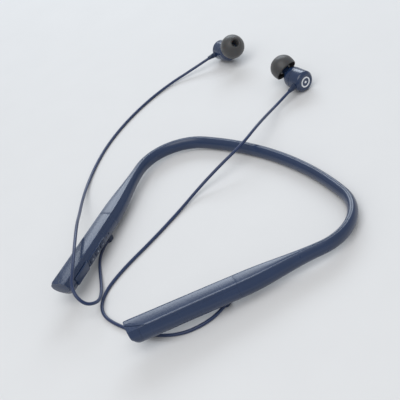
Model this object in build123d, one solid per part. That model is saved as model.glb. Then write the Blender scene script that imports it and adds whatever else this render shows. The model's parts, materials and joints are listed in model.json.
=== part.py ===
"""Neckband earphones: a U-shaped neckband with a rigid pod on each arm, and two earbuds on thin cords.

The neckband lies on its two cord glands and on the back of its band, so it leans back a few degrees.
Two frames are used. The neckband frame has its top faces on Z = 0, its mirror plane on X = 0 and the back
of the neck at +Y. The part's own frame has the resting surface on Z = 0.
On an arm, "along" runs from the tip towards the band and "across" is positive on the neck's side.
"""

import math
import os

from build123d import *

# Resting place, in the part's own frame.
NECKBAND_X = 19.51
NECKBAND_Y = -3.0
SURFACE_GAP = 0.005

# Arms: the middle of the top face at the tip and where the arm meets the band.
TIP_X = 24.75
TIP_Y = -93.5
ARM_END_X = 62.5
ARM_END_Y = -11.8
ARM_LENGTH = math.hypot(ARM_END_X - TIP_X, ARM_END_Y - TIP_Y)
ARM_HEADING = math.degrees(math.atan2(ARM_END_Y - TIP_Y, ARM_END_X - TIP_X))

# Cross-sections: width of the flat top, full width and depth.
TIP_TOP = 7.4
POD_TOP = 6.2
POD_WIDTH = 10.6
POD_DEPTH = 9.8
BAND_TOP = 1.6
BAND_WIDTH = 5.0
BAND_DEPTH = 7.0
TAPER_START = 53.0
TAPER_STEPS = 6
CORNER_RADIUS = 3.4
END_SLANT = 1.5
# Angle below level at which a side leaves the flat top, on the pods and on the band.
POD_SIDE_ANGLE = 67.0
BAND_SIDE_ANGLE = 28.0

# Band behind the neck: a tight shoulder arc, then a wide arc to the mirror plane.
SHOULDER_RADIUS = 25.9
SHOULDER_TURN = 96.0

# Rigid pod.
POD_LENGTH = 50.0
WALL = 1.2
COVER_THICKNESS = 1.3
CAVITY_FRONT = 7.0
SEAM = 0.1
CAP_INNER_LENGTH = 1.2
CAP_OUTER_LENGTH = 5.0
CAP_FACET_HEADING = -62.8
CAP_FACET_FALL = 22.0
TENON_LENGTH = 3.4
TENON_WIDTH = 5.2
TENON_UP = (-6.6, -2.0)

# Core of the band.
CORE_WIRE_RADIUS = 0.7
CORE_WIRE_Z = -2.9
LINK_CABLE_RADIUS = 0.6
LINK_CABLE_Z = -4.9
CORE_START = 43.5

# Cord and its gland under each pod. The gland's soft tail turns towards its cord, in degrees.
CORD_RADIUS = 0.8
GLAND_PLACE = 45.0
GLAND_ACROSS = 1.4
GLAND_FRONT = 2.7
GLAND_REAR = 1.6
GLAND_WIDTH = 3.0
GLAND_CORNER = 1.3
GLAND_DROP = 2.8
GLAND_NECK_RADIUS = 1.2
GLAND_TURNS = {"left": 8.0, "right": 32.0}

# Controls on the neck's side of the left pod.
CONTROL_Z = -4.6
BUTTON_PLACES = {"plus": 22.2, "play": 27.6, "minus": 33.0}
BUTTON_LENGTH = 4.4
BUTTON_HEIGHT = 2.2
BUTTON_EDGE = 0.3
BUTTON_FLANGE = 0.3
BUTTON_FLANGE_FACE = 4.15
FRAME_LENGTH = 17.0
FRAME_HEIGHT = 3.4
FRAME_DEPTH = (4.3, 5.45)
BUTTON_FACE = 5.95
BUTTON_TRAVEL = 0.3
BUTTON_GAP = 0.15
SWITCH_FACE = 3.0
PORT_PLACE = 11.7
PORT_LENGTH = 9.0
PORT_HEIGHT = 3.3
PORT_DEPTH = 6.4
PORT_FACE = 4.3
PORT_COVER_FACE = 5.6
PORT_CLEARANCE = 0.3
PORT_POCKET_HEIGHT = 4.8
PORT_HINGE_RADIUS = 0.6
MIC_PLACE = 40.6
MIC_HOLE_RADIUS = 0.5
LED_PLACE = 37.9
LED_PIPE_RADIUS = 0.55

# Circuit board in the left pod.
BOARD_TOP = -6.3
BOARD_THICKNESS = 0.8
BOARD_WIDTH = 6.0
BOARD_START = 8.0
BOARD_END = 42.5
BOARD_SCREW_PLACES = [19.5, 41.0]

# Battery in the right pod.
BATTERY_START = 8.5
BATTERY_LENGTH = 29.0
BATTERY_WIDTH = 5.8
BATTERY_HEIGHT = 4.6
BATTERY_TOP = -2.6

# Cord routes from the gland to the earbud's boot, from the point on the surface under the neckband's
# own origin. The left cord rises over its pod. The right one passes under its pod, then over the band.
CORD_ROUTES = {
    "left": [
        (-41.7, -53.9, 1.5),
        (-40.3, -59.0, 1.1),
        (-35.1, -66.2, 0.9),
        (-25.5, -73.0, 0.9),
        (-14.9, -79.9, 2.6),
        (-7.6, -86.2, 5.5),
        (-6.8, -93.2, 11.0),
        (-13.6, -92.8, 17.0),
        (-22.1, -84.2, 18.9),
        (-32.9, -74.6, 19.2),
        (-46.1, -63.5, 18.2),
        (-59.0, -54.9, 12.0),
        (-73.65, -44.8, 6.0),
        (-88.2, -32.4, 1.4),
        (-100.2, -15.5, 0.9),
        (-109.1, 2.5, 0.9),
        (-114.85, 22.5, 0.9),
        (-117.5, 42.3, 0.9),
        (-116.5, 60.2, 1.2),
        (-111.2, 72.8, 3.0),
        (-104.35, 85.95, 6.1),
    ],
    "right": [
        (42.9, -53.9, 1.5),
        (43.4, -59.6, 1.0),
        (41.7, -68.0, 0.9),
        (37.1, -76.6, 0.9),
        (27.2, -83.6, 0.9),
        (9.3, -88.8, 0.9),
        (-5.9, -88.9, 0.9),
        (-14.8, -79.7, 0.9),
        (-18.55, -64.4, 0.9),
        (-20.1, -42.7, 0.9),
        (-23.0, -20.3, 0.9),
        (-23.85, -4.5, 3.0),
        (-20.25, 9.4, 8.0),
        (-17.25, 24.5, 11.5),
        (-20.35, 38.8, 11.5),
        (-26.5, 52.3, 7.4),
        (-31.9, 65.3, 3.6),
        (-30.8, 77.25, 6.05),
    ],
}

# Earbuds: the nozzle leaves the housing axis at the pivot.
BUD_RADIUS = 6.0
BUD_WALL = 1.1
BUD_BACK = -10.4
BUD_SPLIT = -2.6
BUD_SHOULDER = -0.9
BUD_FRONT = 2.6
BUD_FRONT_RADIUS = 3.6
BUD_CHAMFER = 1.3
EMBLEM_RECESS_RADIUS = 3.4
EMBLEM_DEPTH = 0.3
EMBLEM_RING = (2.3, 3.1)
EMBLEM_DOT_RADIUS = 0.7
BACK_WALL = 1.3
NOZZLE_ANGLE = 32.0
NOZZLE_RADIUS = 2.4
NOZZLE_BORE = 1.6
NOZZLE_END = 8.4
LIP_RADIUS = 2.45
TIP_RADIUS = 7.1
TIP_START = 5.0
TIP_LENGTH = 9.2
TIP_BORE = 2.5
BOOT_PLACE = -6.3
BOOT_RADIUS = 1.6
BOOT_LEAN = 10.0
BOOT_END = 10.8
# Where each pivot lies, and the housing's heading and rise in degrees.
BUD_POSES = {
    "left": (NECKBAND_X - 95.3, NECKBAND_Y + 93.9, 7.24, -8.35, 8.0),
    "right": (NECKBAND_X - 37.7, NECKBAND_Y + 87.25, 6.34, 174.1, 2.0),
}

SIDES = ("left", "right")


def span(middle, size):
    """Limits of a size about a middle."""
    return middle - size / 2, middle + size / 2


FRAME_ALONG = span(BUTTON_PLACES["play"], FRAME_LENGTH)
FRAME_UP = span(CONTROL_Z, FRAME_HEIGHT)
PORT_POCKET_ALONG = (PORT_PLACE - 5.6, PORT_PLACE + 6.2)
PORT_POCKET_UP = span(CONTROL_Z, PORT_POCKET_HEIGHT)
PORT_HINGE = (PORT_PLACE + 6.0, PORT_COVER_FACE - PORT_HINGE_RADIUS)


def lean_angle():
    """Angle by which the neckband leans back when the glands and the band's back touch the surface."""
    gland_y = TIP_Y + GLAND_PLACE * math.sin(math.radians(ARM_HEADING))
    rise = POD_DEPTH + GLAND_DROP - BAND_DEPTH
    return math.degrees(math.atan2(rise, BACK_Y - gland_y))


def band_points():
    """Start, middle and end of the shoulder arc and of the back arc on the right-hand side."""
    heading = ARM_HEADING

    def swing(point, start, turn, radius):
        def at(angle):
            first = math.radians(start - 90)
            second = math.radians(start + angle - 90)
            return (
                point[0] + radius * (math.cos(second) - math.cos(first)),
                point[1] + radius * (math.sin(second) - math.sin(first)),
            )

        return at(turn / 2), at(turn)

    start = (ARM_END_X, ARM_END_Y)
    shoulder_middle, shoulder_end = swing(start, heading, SHOULDER_TURN, SHOULDER_RADIUS)
    back_heading = heading + SHOULDER_TURN
    back_turn = 180 - back_heading
    back_radius = shoulder_end[0] / math.sin(math.radians(back_turn))
    back_middle, back_end = swing(shoulder_end, back_heading, back_turn, back_radius)
    return start, shoulder_middle, shoulder_end, back_middle, back_end


BACK_Y = band_points()[-1][1]
LEAN = lean_angle()
LIFT = BAND_DEPTH * math.cos(math.radians(LEAN)) + BACK_Y * math.sin(math.radians(LEAN)) + SURFACE_GAP


def on_arm(shape, side):
    """Puts a shape made in an arm's frame onto the left or the right arm."""
    placed = Pos(TIP_X, TIP_Y, 0) * Rot(Z=ARM_HEADING) * shape
    return mirror(placed, about=Plane.YZ) if side == "left" else placed


def at_rest(shape):
    """Moves a shape from the neckband frame to where the neckband rests."""
    return Pos(NECKBAND_X, NECKBAND_Y, LIFT) * Rot(X=-LEAN) * shape


def on_bud(shape, side):
    """Puts a shape made in an earbud's frame where that earbud lies."""
    x, y, z, heading, rise = BUD_POSES[side]
    return Pos(x, y, z) * Rot(Z=heading) * Rot(Y=-rise) * shape


def on_nozzle(shape):
    """Tips a shape made about +X onto the nozzle's axis."""
    return Rot(Y=-NOZZLE_ANGLE) * shape


def block(along, across, up):
    """A box between two limits on each axis of an arm."""
    size = [limits[1] - limits[0] for limits in (along, across, up)]
    middle = [(limits[1] + limits[0]) / 2 for limits in (along, across, up)]
    return Pos(*middle) * Box(*size)


def rod(radius, start, end, across=0.0, up=0.0):
    """A cylinder along +X between two limits."""
    return Pos((start + end) / 2, across, up) * Rot(Y=90) * Cylinder(radius, end - start)


def section_outline(top, width, depth, side_angle):
    """Flat top, bulging sides and a rounded bottom, across +X and up +Y."""
    half = width / 2
    out, down = math.cos(math.radians(side_angle)), math.sin(math.radians(side_angle))
    points = [
        (top / 2, 0),
        (half, -0.45 * depth),
        (0.34 * width, -0.87 * depth),
        (0, -depth),
        (-0.34 * width, -0.87 * depth),
        (-half, -0.45 * depth),
        (-top / 2, 0),
    ]
    sides = Spline(*points, tangents=[(out, -down), (out, down)], tangent_scalars=[1, 1])
    return make_face(sides + Line(points[-1], points[0]))


def arm_section(place, top, width, depth, side_angle=POD_SIDE_ANGLE, drop=0.0):
    """A section standing across the arm at a distance from the tip."""
    plane = Plane(origin=(place, 0, -drop), x_dir=(0, 1, 0), z_dir=(1, 0, 0))
    return plane * section_outline(top, width, depth, side_angle)


def pod_top(place):
    """Width of the flat top at a distance from the tip, along the straight part of an arm."""
    return TIP_TOP + (POD_TOP - TIP_TOP) * place / TAPER_START


def taper_section(step):
    """A section of the soft part, where the arm eases down to the band."""
    share = step / TAPER_STEPS
    ease = share * share * (3 - 2 * share)
    return arm_section(
        TAPER_START + (ARM_LENGTH - TAPER_START) * share,
        POD_TOP + (BAND_TOP - POD_TOP) * ease,
        POD_WIDTH + (BAND_WIDTH - POD_WIDTH) * ease,
        POD_DEPTH + (BAND_DEPTH - POD_DEPTH) * ease,
        POD_SIDE_ANGLE + (BAND_SIDE_ANGLE - POD_SIDE_ANGLE) * ease,
    )


def arm_outer():
    """Outside of an arm, from the tip to the band, with its lower front corner rounded."""
    straight = [arm_section(place, pod_top(place), POD_WIDTH, POD_DEPTH) for place in (0, TAPER_START)]
    body = loft(straight, ruled=True) + loft([taper_section(step) for step in range(TAPER_STEPS + 1)])
    low = -POD_DEPTH - 0.1
    profile = Polyline((ARM_LENGTH, 1), (0, 1), (END_SLANT, low), (ARM_LENGTH, low), close=True)
    side_view = make_face(profile)
    front = side_view.vertices().sort_by(Axis.Y)[:2].sort_by(Axis.X)[0]
    side_view = fillet(front, CORNER_RADIUS)
    return body & extrude(Plane.XZ * side_view, POD_WIDTH, both=True)


def cap_region():
    """Space in front of the slanted seam between the end cap and the rest of the pod."""
    half = 8.0
    slope = (CAP_INNER_LENGTH - CAP_OUTER_LENGTH) / TIP_TOP
    middle = (CAP_INNER_LENGTH + CAP_OUTER_LENGTH) / 2
    corners = [(-1, -half), (middle - slope * half, -half), (middle + slope * half, half), (-1, half)]
    return extrude(Plane.XY.offset(-12) * make_face(Polyline(*corners, close=True)), 14)


def pod_cavity():
    """Hollow of a pod, open at its rear."""
    size = (POD_WIDTH - 2 * WALL, POD_DEPTH - WALL - COVER_THICKNESS)
    ends = [
        arm_section(place, pod_top(place) - 1.6, *size, drop=COVER_THICKNESS)
        for place in (CAVITY_FRONT, POD_LENGTH)
    ]
    return loft(ends, ruled=True)


def gland_body(side):
    """Strain relief under a pod: a rounded foot, turned towards its cord, and a neck up into the pod."""
    top = -POD_DEPTH + 0.8
    low = -POD_DEPTH - GLAND_DROP - 1.2
    foot = block((-GLAND_FRONT, GLAND_REAR), span(0, GLAND_WIDTH), (low, top))
    foot = fillet(foot.edges().filter_by(Axis.Z), GLAND_CORNER)
    turned_foot = Pos(GLAND_PLACE, GLAND_ACROSS, 0) * Rot(Z=GLAND_TURNS[side]) * foot
    neck = Pos(GLAND_PLACE, GLAND_ACROSS, top + 0.4) * Cylinder(GLAND_NECK_RADIUS, 2.4)
    return turned_foot + neck


def above_surface(shape):
    """Keeps what lies above the surface that the part stands on."""
    return shape & Pos(0, 0, 200) * Box(600, 600, 400)


def arc_pair(drop):
    """The shoulder arc and the back arc of the right-hand side, at a depth below the top."""
    start, shoulder_middle, shoulder_end, back_middle, back_end = [
        (x, y, drop) for x, y in band_points()
    ]
    return [
        Edge.make_three_point_arc(start, shoulder_middle, shoulder_end),
        Edge.make_three_point_arc(shoulder_end, back_middle, back_end),
    ]


def core_piece(radius, drop):
    """Round core from one pod, through both arms and the band, to the other pod."""
    back = CORE_START / ARM_LENGTH
    tail = (TIP_X + (ARM_END_X - TIP_X) * back, TIP_Y + (ARM_END_Y - TIP_Y) * back, drop)
    path = Wire([Edge.make_line(tail, (ARM_END_X, ARM_END_Y, drop)), *arc_pair(drop)])
    half = sweep(Plane(origin=tail, z_dir=path % 0) * Circle(radius), path=path)
    return half + mirror(half, about=Plane.YZ)


def band_half():
    """Right-hand half of the band behind the neck, from the arm's end to the mirror plane."""
    path = Wire(arc_pair(0))
    start = path @ 0
    heading = path % 0
    plane = Plane(origin=start, x_dir=Vector(-heading.Y, heading.X, 0), z_dir=heading)
    outline = section_outline(BAND_TOP, BAND_WIDTH, BAND_DEPTH, BAND_SIDE_ANGLE)
    return sweep(plane * outline, path=path)


def tenon():
    """Plug at the front of the soft arm that fits inside the pod's open rear."""
    return block((POD_LENGTH - TENON_LENGTH, POD_LENGTH + SEAM), span(0, TENON_WIDTH), TENON_UP)


def band_jacket(outer):
    """Soft jacket of the band and both arms, with channels for the core."""
    soft_arm = outer & block((POD_LENGTH + SEAM, ARM_LENGTH + 1), (-9, 9), (-12, 1))
    half = Pos(TIP_X, TIP_Y, 0) * Rot(Z=ARM_HEADING) * (soft_arm + tenon()) + band_half()
    whole = half + mirror(half, about=Plane.YZ)
    whole -= core_piece(CORE_WIRE_RADIUS, CORE_WIRE_Z)
    return whole - core_piece(LINK_CABLE_RADIUS, LINK_CABLE_Z)


def cord_radii(points):
    """A bend radius for each inner point: as wide as its shorter neighbouring run allows."""
    radii = []
    for before, here, after in zip(points, points[1:], points[2:]):
        first = Vector(*here) - Vector(*before)
        second = Vector(*after) - Vector(*here)
        half_turn = math.radians(first.get_angle(second)) / 2
        radii.append(0.45 * min(first.length, second.length) / math.tan(half_turn))
    return radii


def cord(side):
    """Plain round cord from the gland to the earbud's boot."""
    points = [(x + NECKBAND_X, y + NECKBAND_Y, z) for x, y, z in CORD_ROUTES[side]]
    radii = cord_radii(points)
    path = FilletPolyline(*points, radius=radii)
    print(side, "cord length", round(path.length, 1), "radii", [round(radius, 1) for radius in radii])
    return sweep(Plane(origin=path @ 0, z_dir=path % 0) * Circle(CORD_RADIUS), path=path)


def pod_shell(outer, side):
    """Lower shell of a pod: the outside below the cover, hollowed, and cut for what passes through it."""
    rigid = outer & block((-1, POD_LENGTH), (-9, 9), (-12, -COVER_THICKNESS))
    shell = rigid - cap_region() - pod_cavity() - gland_body(side)
    if side == "right":
        return shell
    frame_hole = block(FRAME_ALONG, (3, 9), FRAME_UP)
    mouth_size = (PORT_LENGTH + PORT_CLEARANCE, PORT_HEIGHT + PORT_CLEARANCE)
    mouth = block(span(PORT_PLACE, mouth_size[0]), (3, 9), span(CONTROL_Z, mouth_size[1]))
    pocket = block(PORT_POCKET_ALONG, (PORT_FACE + 0.3, 9), PORT_POCKET_UP)
    knuckle_groove = Pos(*PORT_HINGE, CONTROL_Z) * Cylinder(PORT_HINGE_RADIUS + 0.15, 4.6)
    pipe_hole = Pos(LED_PLACE, 5, CONTROL_Z) * Rot(X=90) * Cylinder(LED_PIPE_RADIUS + 0.05, 4)
    mic_hole = Pos(MIC_PLACE, 5, CONTROL_Z) * Rot(X=90) * Cylinder(MIC_HOLE_RADIUS, 4)
    shell = shell - frame_hole - mouth - pocket - knuckle_groove - pipe_hole - mic_hole
    for place in BOARD_SCREW_PLACES:
        boss = Pos(place, 0, -8.0) * Cylinder(1.3, 1.75)
        shell += boss - Pos(place, 0, -7.8) * Cylinder(0.5, 1.6)
    return shell


def pod_cover(outer):
    """Flat top of a pod, with a lip that locates it inside the shell."""
    plate = outer & block((-1, POD_LENGTH), (-9, 9), (-COVER_THICKNESS, 1))
    lip = block((CAVITY_FRONT + 1, CORE_START - 0.5), (-2.2, 2.2), (-1.9, -COVER_THICKNESS))
    return plate - cap_region() + lip


def pod_end_cap(outer):
    """Cap on a pod's tip: a slanted seam, and a facet that falls away from it."""
    cap = outer & Pos(-SEAM, 0, 0) * cap_region()
    falling = Pos(CAP_OUTER_LENGTH, -TIP_TOP / 2, 0) * Rot(Z=CAP_FACET_HEADING) * Rot(X=-CAP_FACET_FALL)
    return cap - falling * block((-20, 20), (-20, 20), (0, 10))


def controls():
    """Buttons, their frame, the charging port and its cover, the lamp and the microphone's seal."""
    frame = block(FRAME_ALONG, FRAME_DEPTH, FRAME_UP)
    inner = SWITCH_FACE + BUTTON_TRAVEL + 0.05
    flange_size = (BUTTON_LENGTH + 2 * BUTTON_FLANGE, BUTTON_HEIGHT + 2 * BUTTON_FLANGE)
    opening = (BUTTON_LENGTH + 2 * BUTTON_GAP, BUTTON_HEIGHT + 2 * BUTTON_GAP)
    pieces = {}
    for name, place in BUTTON_PLACES.items():
        key = block(span(place, BUTTON_LENGTH), (inner, BUTTON_FACE), span(CONTROL_Z, BUTTON_HEIGHT))
        key = fillet(key.faces().sort_by(Axis.Y)[-1].edges(), BUTTON_EDGE)
        flange_along, flange_up = span(place, flange_size[0]), span(CONTROL_Z, flange_size[1])
        pieces[name + "_button"] = key + block(flange_along, (inner, BUTTON_FLANGE_FACE), flange_up)
        frame -= block(span(place, opening[0]), (4, 6), span(CONTROL_Z, opening[1]))
    pieces["button_frame"] = frame

    body_across = (PORT_FACE - PORT_DEPTH, PORT_FACE)
    body = block(span(PORT_PLACE, PORT_LENGTH), body_across, span(CONTROL_Z, PORT_HEIGHT))
    body = fillet(body.edges().filter_by(Axis.Y), 1.3)
    mouth = block(span(PORT_PLACE, 8.4), (PORT_FACE - 5.4, PORT_FACE + 1), span(CONTROL_Z, 2.6))
    mouth = fillet(mouth.edges().filter_by(Axis.Y), 1.1)
    blade = block(span(PORT_PLACE, 6.6), (PORT_FACE - 5.5, PORT_FACE - 1.2), span(CONTROL_Z, 0.7))
    pieces["usb_receptacle"] = body - mouth + blade

    flap_along = (PORT_POCKET_ALONG[0] + 0.2, PORT_HINGE[0])
    flap = block(flap_along, (PORT_FACE + 0.5, PORT_COVER_FACE), span(CONTROL_Z, 4.4))
    flap = fillet(flap.edges().filter_by(Axis.Y).group_by(Axis.X)[0], 1.0)
    plug = block(span(PORT_PLACE - 0.1, 7.2), (PORT_FACE - 0.7, PORT_FACE + 0.5), span(CONTROL_Z, 2.0))
    knuckle = Pos(*PORT_HINGE, CONTROL_Z) * Cylinder(PORT_HINGE_RADIUS, 4.4)
    pieces["port_cover"] = flap + plug + knuckle

    pipe = Pos(LED_PLACE, 4.6, CONTROL_Z) * Rot(X=90) * Cylinder(LED_PIPE_RADIUS, 1.4)
    pieces["light_pipe"] = pipe
    seal = Pos(MIC_PLACE, 3.48, CONTROL_Z) * Rot(X=90) * (Cylinder(1.0, 0.74) - Cylinder(0.45, 2))
    pieces["microphone_seal"] = seal
    return pieces


def electronics():
    """Circuit board of the left pod and what is soldered to it."""
    low = BOARD_TOP - BOARD_THICKNESS
    board = block((BOARD_START, BOARD_END), span(0, BOARD_WIDTH), (low, BOARD_TOP))
    screws = Part()
    for place in BOARD_SCREW_PLACES:
        board -= Pos(place, 0, BOARD_TOP) * Cylinder(0.75, 3)
        head = Pos(place, 0, BOARD_TOP + 0.25) * Cylinder(1.2, 0.5)
        shank = Pos(place, 0, BOARD_TOP - 0.95) * Cylinder(0.5, 1.9)
        screws += head + shank
    switches = Part()
    for place in BUTTON_PLACES.values():
        switches += block(span(place, 3.2), (0.9, SWITCH_FACE), (BOARD_TOP, CONTROL_Z + 0.9))
    can = block((22.0, 31.0), (-2.9, 0.6), (BOARD_TOP, BOARD_TOP + 1.6))
    aerial = block((33.5, 39.0), (-2.6, -0.6), (BOARD_TOP, BOARD_TOP + 1.2))
    return {
        "control_board": board,
        "board_screws": screws,
        "button_switches": switches,
        "bluetooth_module": can,
        "aerial": aerial,
        "microphone": block(span(MIC_PLACE, 2.6), (1.9, 3.1), span(CONTROL_Z, 2.2)),
        "status_lamp": block(span(LED_PLACE, 1.4), (3.0, 3.85), span(CONTROL_Z, 1.0)),
    }


def battery_parts():
    """Battery, its foam pad and its protection board in the right pod."""
    cell = block(
        (BATTERY_START, BATTERY_START + BATTERY_LENGTH),
        span(0, BATTERY_WIDTH),
        (BATTERY_TOP - BATTERY_HEIGHT, BATTERY_TOP),
    )
    cell = fillet(cell.edges().filter_by(Axis.X), 0.9)
    pad = block((BATTERY_START + 2, BATTERY_START + BATTERY_LENGTH - 2), (-1.9, 1.9), (BATTERY_TOP, -1.9))
    guard_start = BATTERY_START + BATTERY_LENGTH + 0.6
    guard = block((guard_start, guard_start + 0.8), (-2.6, 2.6), (-6.8, -2.4))
    return {"battery_cell": cell, "battery_pad": pad, "battery_guard_board": guard}


def core_anchor():
    """Crimped sleeve on the end of the core wire, in the mouth of the soft arm's plug."""
    sleeve = rod(1.15, CORE_START, CORE_START + 2.4, up=CORE_WIRE_Z)
    return sleeve - rod(CORE_WIRE_RADIUS, CORE_START, CORE_START + 3, up=CORE_WIRE_Z)


def turned(points):
    """Solid of revolution about +X from points given as (distance along X, radius)."""
    outline = make_face(Polyline(*[(x, r) for x, r in points], close=True))
    return revolve(outline, Axis.X)


def boot_direction(side):
    """Unit direction of an earbud's boot: sideways, leaning towards the back of the housing."""
    lean = math.radians(BOOT_LEAN)
    sideways = -1 if side == "left" else 1
    return Vector(-math.sin(lean), sideways * math.cos(lean), 0)


def boot_rod(radius, start, end, side):
    """A cylinder along the boot's axis."""
    direction = boot_direction(side)
    middle = Vector(BOOT_PLACE, 0, 0) + direction * ((start + end) / 2)
    return Plane(origin=middle, z_dir=direction) * Cylinder(radius, end - start)


def earbud(side):
    """All pieces of one earbud, in its own frame: +X is the front of the housing."""
    inner = BUD_RADIUS - BUD_WALL
    back = turned(
        [
            (BUD_BACK, 0),
            (BUD_BACK, BUD_RADIUS - BUD_CHAMFER),
            (BUD_BACK + BUD_CHAMFER, BUD_RADIUS),
            (BUD_SPLIT, BUD_RADIUS),
            (BUD_SPLIT, inner),
            (BUD_BACK + BACK_WALL, inner),
            (BUD_BACK + BACK_WALL, 0),
        ]
    )
    emblem_floor = BUD_BACK + EMBLEM_DEPTH
    recess = rod(EMBLEM_RECESS_RADIUS, BUD_BACK - 1, emblem_floor)
    ring = rod(EMBLEM_RING[1], BUD_BACK, emblem_floor) - rod(EMBLEM_RING[0], BUD_BACK - 1, BUD_BACK + 1)
    dot = rod(EMBLEM_DOT_RADIUS, BUD_BACK, emblem_floor)
    boot = boot_rod(BOOT_RADIUS, BUD_RADIUS - 0.1, BOOT_END - 2.0, side)
    boot += boot_rod(1.2, inner + 0.05, BUD_RADIUS, side)
    boot += boot_rod(1.15, BOOT_END - 2.0, BOOT_END, side)
    back = back - recess - boot
    dome = turned(
        [
            (BUD_SPLIT, inner),
            (BUD_SPLIT, BUD_RADIUS),
            (BUD_SHOULDER, BUD_RADIUS),
            (1.2, 5.2),
            (BUD_FRONT, BUD_FRONT_RADIUS),
            (BUD_FRONT, 0),
            (1.2, 0),
            (1.2, 2.4),
            (BUD_SHOULDER, inner),
        ]
    )
    nozzle = rod(NOZZLE_RADIUS, 0, NOZZLE_END)
    lip = turned(
        [
            (NOZZLE_END - 1.2, 0),
            (NOZZLE_END - 1.2, NOZZLE_RADIUS),
            (NOZZLE_END - 0.9, LIP_RADIUS),
            (NOZZLE_END - 0.4, LIP_RADIUS),
            (NOZZLE_END, NOZZLE_RADIUS),
            (NOZZLE_END, 0),
        ]
    )
    cavity = turned(
        [(BUD_SPLIT - 1, 0), (BUD_SPLIT - 1, inner), (BUD_SHOULDER, inner), (1.2, 2.4), (1.2, 0)]
    )
    front = dome + on_nozzle(nozzle + lip) - cavity - on_nozzle(rod(NOZZLE_BORE, 0.5, NOZZLE_END + 1))
    mesh = on_nozzle(rod(NOZZLE_BORE, NOZZLE_END - 0.3, NOZZLE_END - 0.1))
    basket = rod(inner - 0.1, -3.6, -1.6) - rod(4.1, -3.4, 0) - rod(2.9, -4, 0)
    magnet = rod(2.6, -3.5, -2.1)
    yoke = rod(2.9, -3.8, -3.5)
    diaphragm = turned([(-1.6, 0), (-1.6, 4.3), (-1.45, 4.3), (-1.2, 2.2), (-1.35, 0)])
    coil = rod(2.1, -2.0, -1.6) - rod(1.9, -3, 0)
    clasp = rod(3.4, BUD_BACK + BACK_WALL, BUD_BACK + BACK_WALL + 1.0)
    return {
        "rear_housing": back,
        "front_housing": front,
        "end_emblem": ring + dot,
        "nozzle_mesh": mesh,
        "driver_basket": basket,
        "driver_magnet": magnet + yoke,
        "driver_diaphragm": diaphragm,
        "voice_coil": coil,
        "clasp_magnet": clasp,
        "boot": boot,
        "ear_tip": ear_tip(),
    }


def ear_tip():
    """Soft dome with a stem that grips the nozzle, in the earbud's frame."""
    nose = TIP_START + TIP_LENGTH
    rim = TIP_START + 0.2
    widest = TIP_START + 3.6
    outer = Line((rim, 6.3), (rim + 0.1, 6.6)) + ThreePointArc(
        (rim + 0.1, 6.6), (widest - 0.9, TIP_RADIUS), (nose - 2.6, 5.7)
    )
    outer += ThreePointArc((nose - 2.6, 5.7), (nose - 0.7, 4.2), (nose, 2.9))
    bore = Polyline((nose, 2.9), (nose, 2.2), (NOZZLE_END + 0.1, 2.2), (NOZZLE_END + 0.1, TIP_BORE))
    bore += Polyline((NOZZLE_END + 0.1, TIP_BORE), (TIP_START + 1.0, TIP_BORE), (TIP_START + 1.0, 3.4))
    inside = Polyline((TIP_START + 1.0, 3.4), (nose - 3.4, 3.6))
    inside += ThreePointArc((nose - 3.4, 3.6), (widest + 1.2, 5.7), (rim, 6.3))
    outline = make_face(outer + bore + inside)
    return on_nozzle(revolve(outline, Axis.X))


def build():
    """Every node of the object, in the part's own frame."""
    outer = arm_outer()
    nodes = {"band_jacket": at_rest(band_jacket(outer))}
    nodes["band_core_wire"] = at_rest(core_piece(CORE_WIRE_RADIUS, CORE_WIRE_Z))
    nodes["band_link_cable"] = at_rest(core_piece(LINK_CABLE_RADIUS, LINK_CABLE_Z))
    for side in SIDES:
        pod = {
            "lower_shell": pod_shell(outer, side),
            "top_cover": pod_cover(outer),
            "end_cap": pod_end_cap(outer),
            "core_anchor": core_anchor(),
        }
        for name, shape in pod.items():
            nodes[side + "_" + name] = at_rest(on_arm(shape, side))
        nodes[side + "_cord_gland"] = above_surface(at_rest(on_arm(gland_body(side), side)))
        nodes[side + "_cord"] = cord(side)
        for name, shape in earbud(side).items():
            nodes[side + "_bud_" + name] = on_bud(shape, side)
    for name, shape in {**controls(), **electronics()}.items():
        nodes[name] = at_rest(on_arm(shape, "left"))
    for name, shape in battery_parts().items():
        nodes[name] = at_rest(on_arm(shape, "right"))
    return nodes


os.makedirs("parts", exist_ok=True)
for node, solid in build().items():
    export_step(solid, "parts/" + node + ".step")
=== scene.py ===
"""Looks of the neckband earphones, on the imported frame.

Shapes are written in millimetres and placed in metres.
"""

import json
import math

import bmesh
import bpy
from mathutils import Matrix, Quaternion, Vector

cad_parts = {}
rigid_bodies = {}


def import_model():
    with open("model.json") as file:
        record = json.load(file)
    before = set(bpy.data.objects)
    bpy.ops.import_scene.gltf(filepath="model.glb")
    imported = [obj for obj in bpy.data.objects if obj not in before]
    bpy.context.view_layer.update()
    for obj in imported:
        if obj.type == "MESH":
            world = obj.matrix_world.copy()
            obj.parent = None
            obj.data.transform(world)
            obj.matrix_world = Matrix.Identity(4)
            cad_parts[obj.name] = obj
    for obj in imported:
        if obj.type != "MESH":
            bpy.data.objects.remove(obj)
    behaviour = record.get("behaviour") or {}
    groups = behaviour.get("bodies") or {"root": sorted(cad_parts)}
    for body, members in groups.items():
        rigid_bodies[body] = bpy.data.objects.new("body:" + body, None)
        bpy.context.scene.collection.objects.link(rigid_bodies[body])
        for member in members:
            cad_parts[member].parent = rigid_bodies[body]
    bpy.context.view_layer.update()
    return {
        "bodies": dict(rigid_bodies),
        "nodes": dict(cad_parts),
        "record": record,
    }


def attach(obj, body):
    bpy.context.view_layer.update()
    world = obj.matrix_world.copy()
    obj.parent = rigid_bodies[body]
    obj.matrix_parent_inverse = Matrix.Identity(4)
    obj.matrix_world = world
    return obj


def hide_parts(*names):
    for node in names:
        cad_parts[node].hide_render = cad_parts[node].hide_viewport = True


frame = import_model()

MM = 0.001
SIDES = ("left", "right")
FLOOR_GAP = 0.005

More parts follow.
